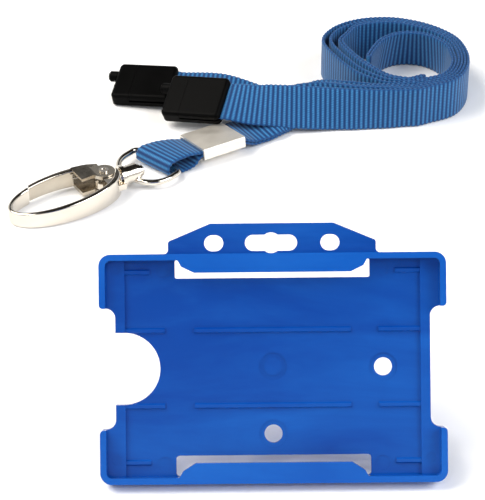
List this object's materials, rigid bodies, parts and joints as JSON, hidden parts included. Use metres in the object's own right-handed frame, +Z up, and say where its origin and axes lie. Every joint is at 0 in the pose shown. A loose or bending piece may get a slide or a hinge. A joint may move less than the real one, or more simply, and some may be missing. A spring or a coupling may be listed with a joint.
{
  "type": "lanyard badge holder",
  "caption": "Flat ribbon neck lanyard with an open breakaway clasp, crimp ferrule, D ring and swivel snap hook, with an open-faced rigid card tray standing in front.",
  "frame": {"origin": "under the middle of the whole set, on the surface it stands on", "axes": "+Z up, -Y towards the viewer, +X to the viewer's right"},
  "size_m": [0.1548, 0.239, 0.0562],
  "materials": {
    "blue_polystyrene": "injection-moulded gloss with faint flow lines",
    "blue_ribbon": "ribbed polyester grosgrain weave",
    "nickel_plate": "bright nickel plating",
    "black_acetal": "satin moulded black",
    "spring_steel": "drawn wire"
  },
  "bodies": {
    "card_tray": {"card_tray": "blue_polystyrene"},
    "lanyard": {"ribbon_coil": "blue_ribbon", "near_strap": "blue_ribbon", "far_strap": "blue_ribbon", "ferrule_strap": "blue_ribbon", "hook_loop": "blue_ribbon", "crimp_ferrule": "nickel_plate", "near_clasp_body": "black_acetal", "near_clasp_cover": "black_acetal", "far_clasp_body": "black_acetal", "far_clasp_cover": "black_acetal"},
    "ring": {"d_ring": "nickel_plate"},
    "hook": {"swivel_post": "nickel_plate", "hook_body": "nickel_plate", "gate_pin": "nickel_plate"},
    "gate": {"gate": "nickel_plate", "gate_spring": "spring_steel"}
  },
  "joints": [
    {"name": "card_tray_lift", "type": "slide", "parent": "lanyard", "child": "card_tray", "axis": [0, 0, 1], "range_m": [0, 0.1]},
    {"name": "ring_hinge", "type": "hinge", "parent": "lanyard", "child": "ring", "pos_m": [-0.03075, 0.0401, 0.00285], "axis": [-0.765, 0.6419, 0.0523], "range_deg": [0, 80]},
    {"name": "hook_swivel", "type": "hinge", "parent": "ring", "child": "hook", "pos_m": [-0.03965, 0.02925, 0.0043], "axis": [-0.8572, -0.515, 0], "continuous": true},
    {"name": "gate_hinge", "type": "hinge", "parent": "hook", "child": "gate", "pos_m": [-0.04786, 0.02583, 0.0043], "axis": [0, 0, 1], "range_deg": [0, 20], "stiffness_Nm_per_rad": 0.08, "springref_deg": -20.05}
  ]
}
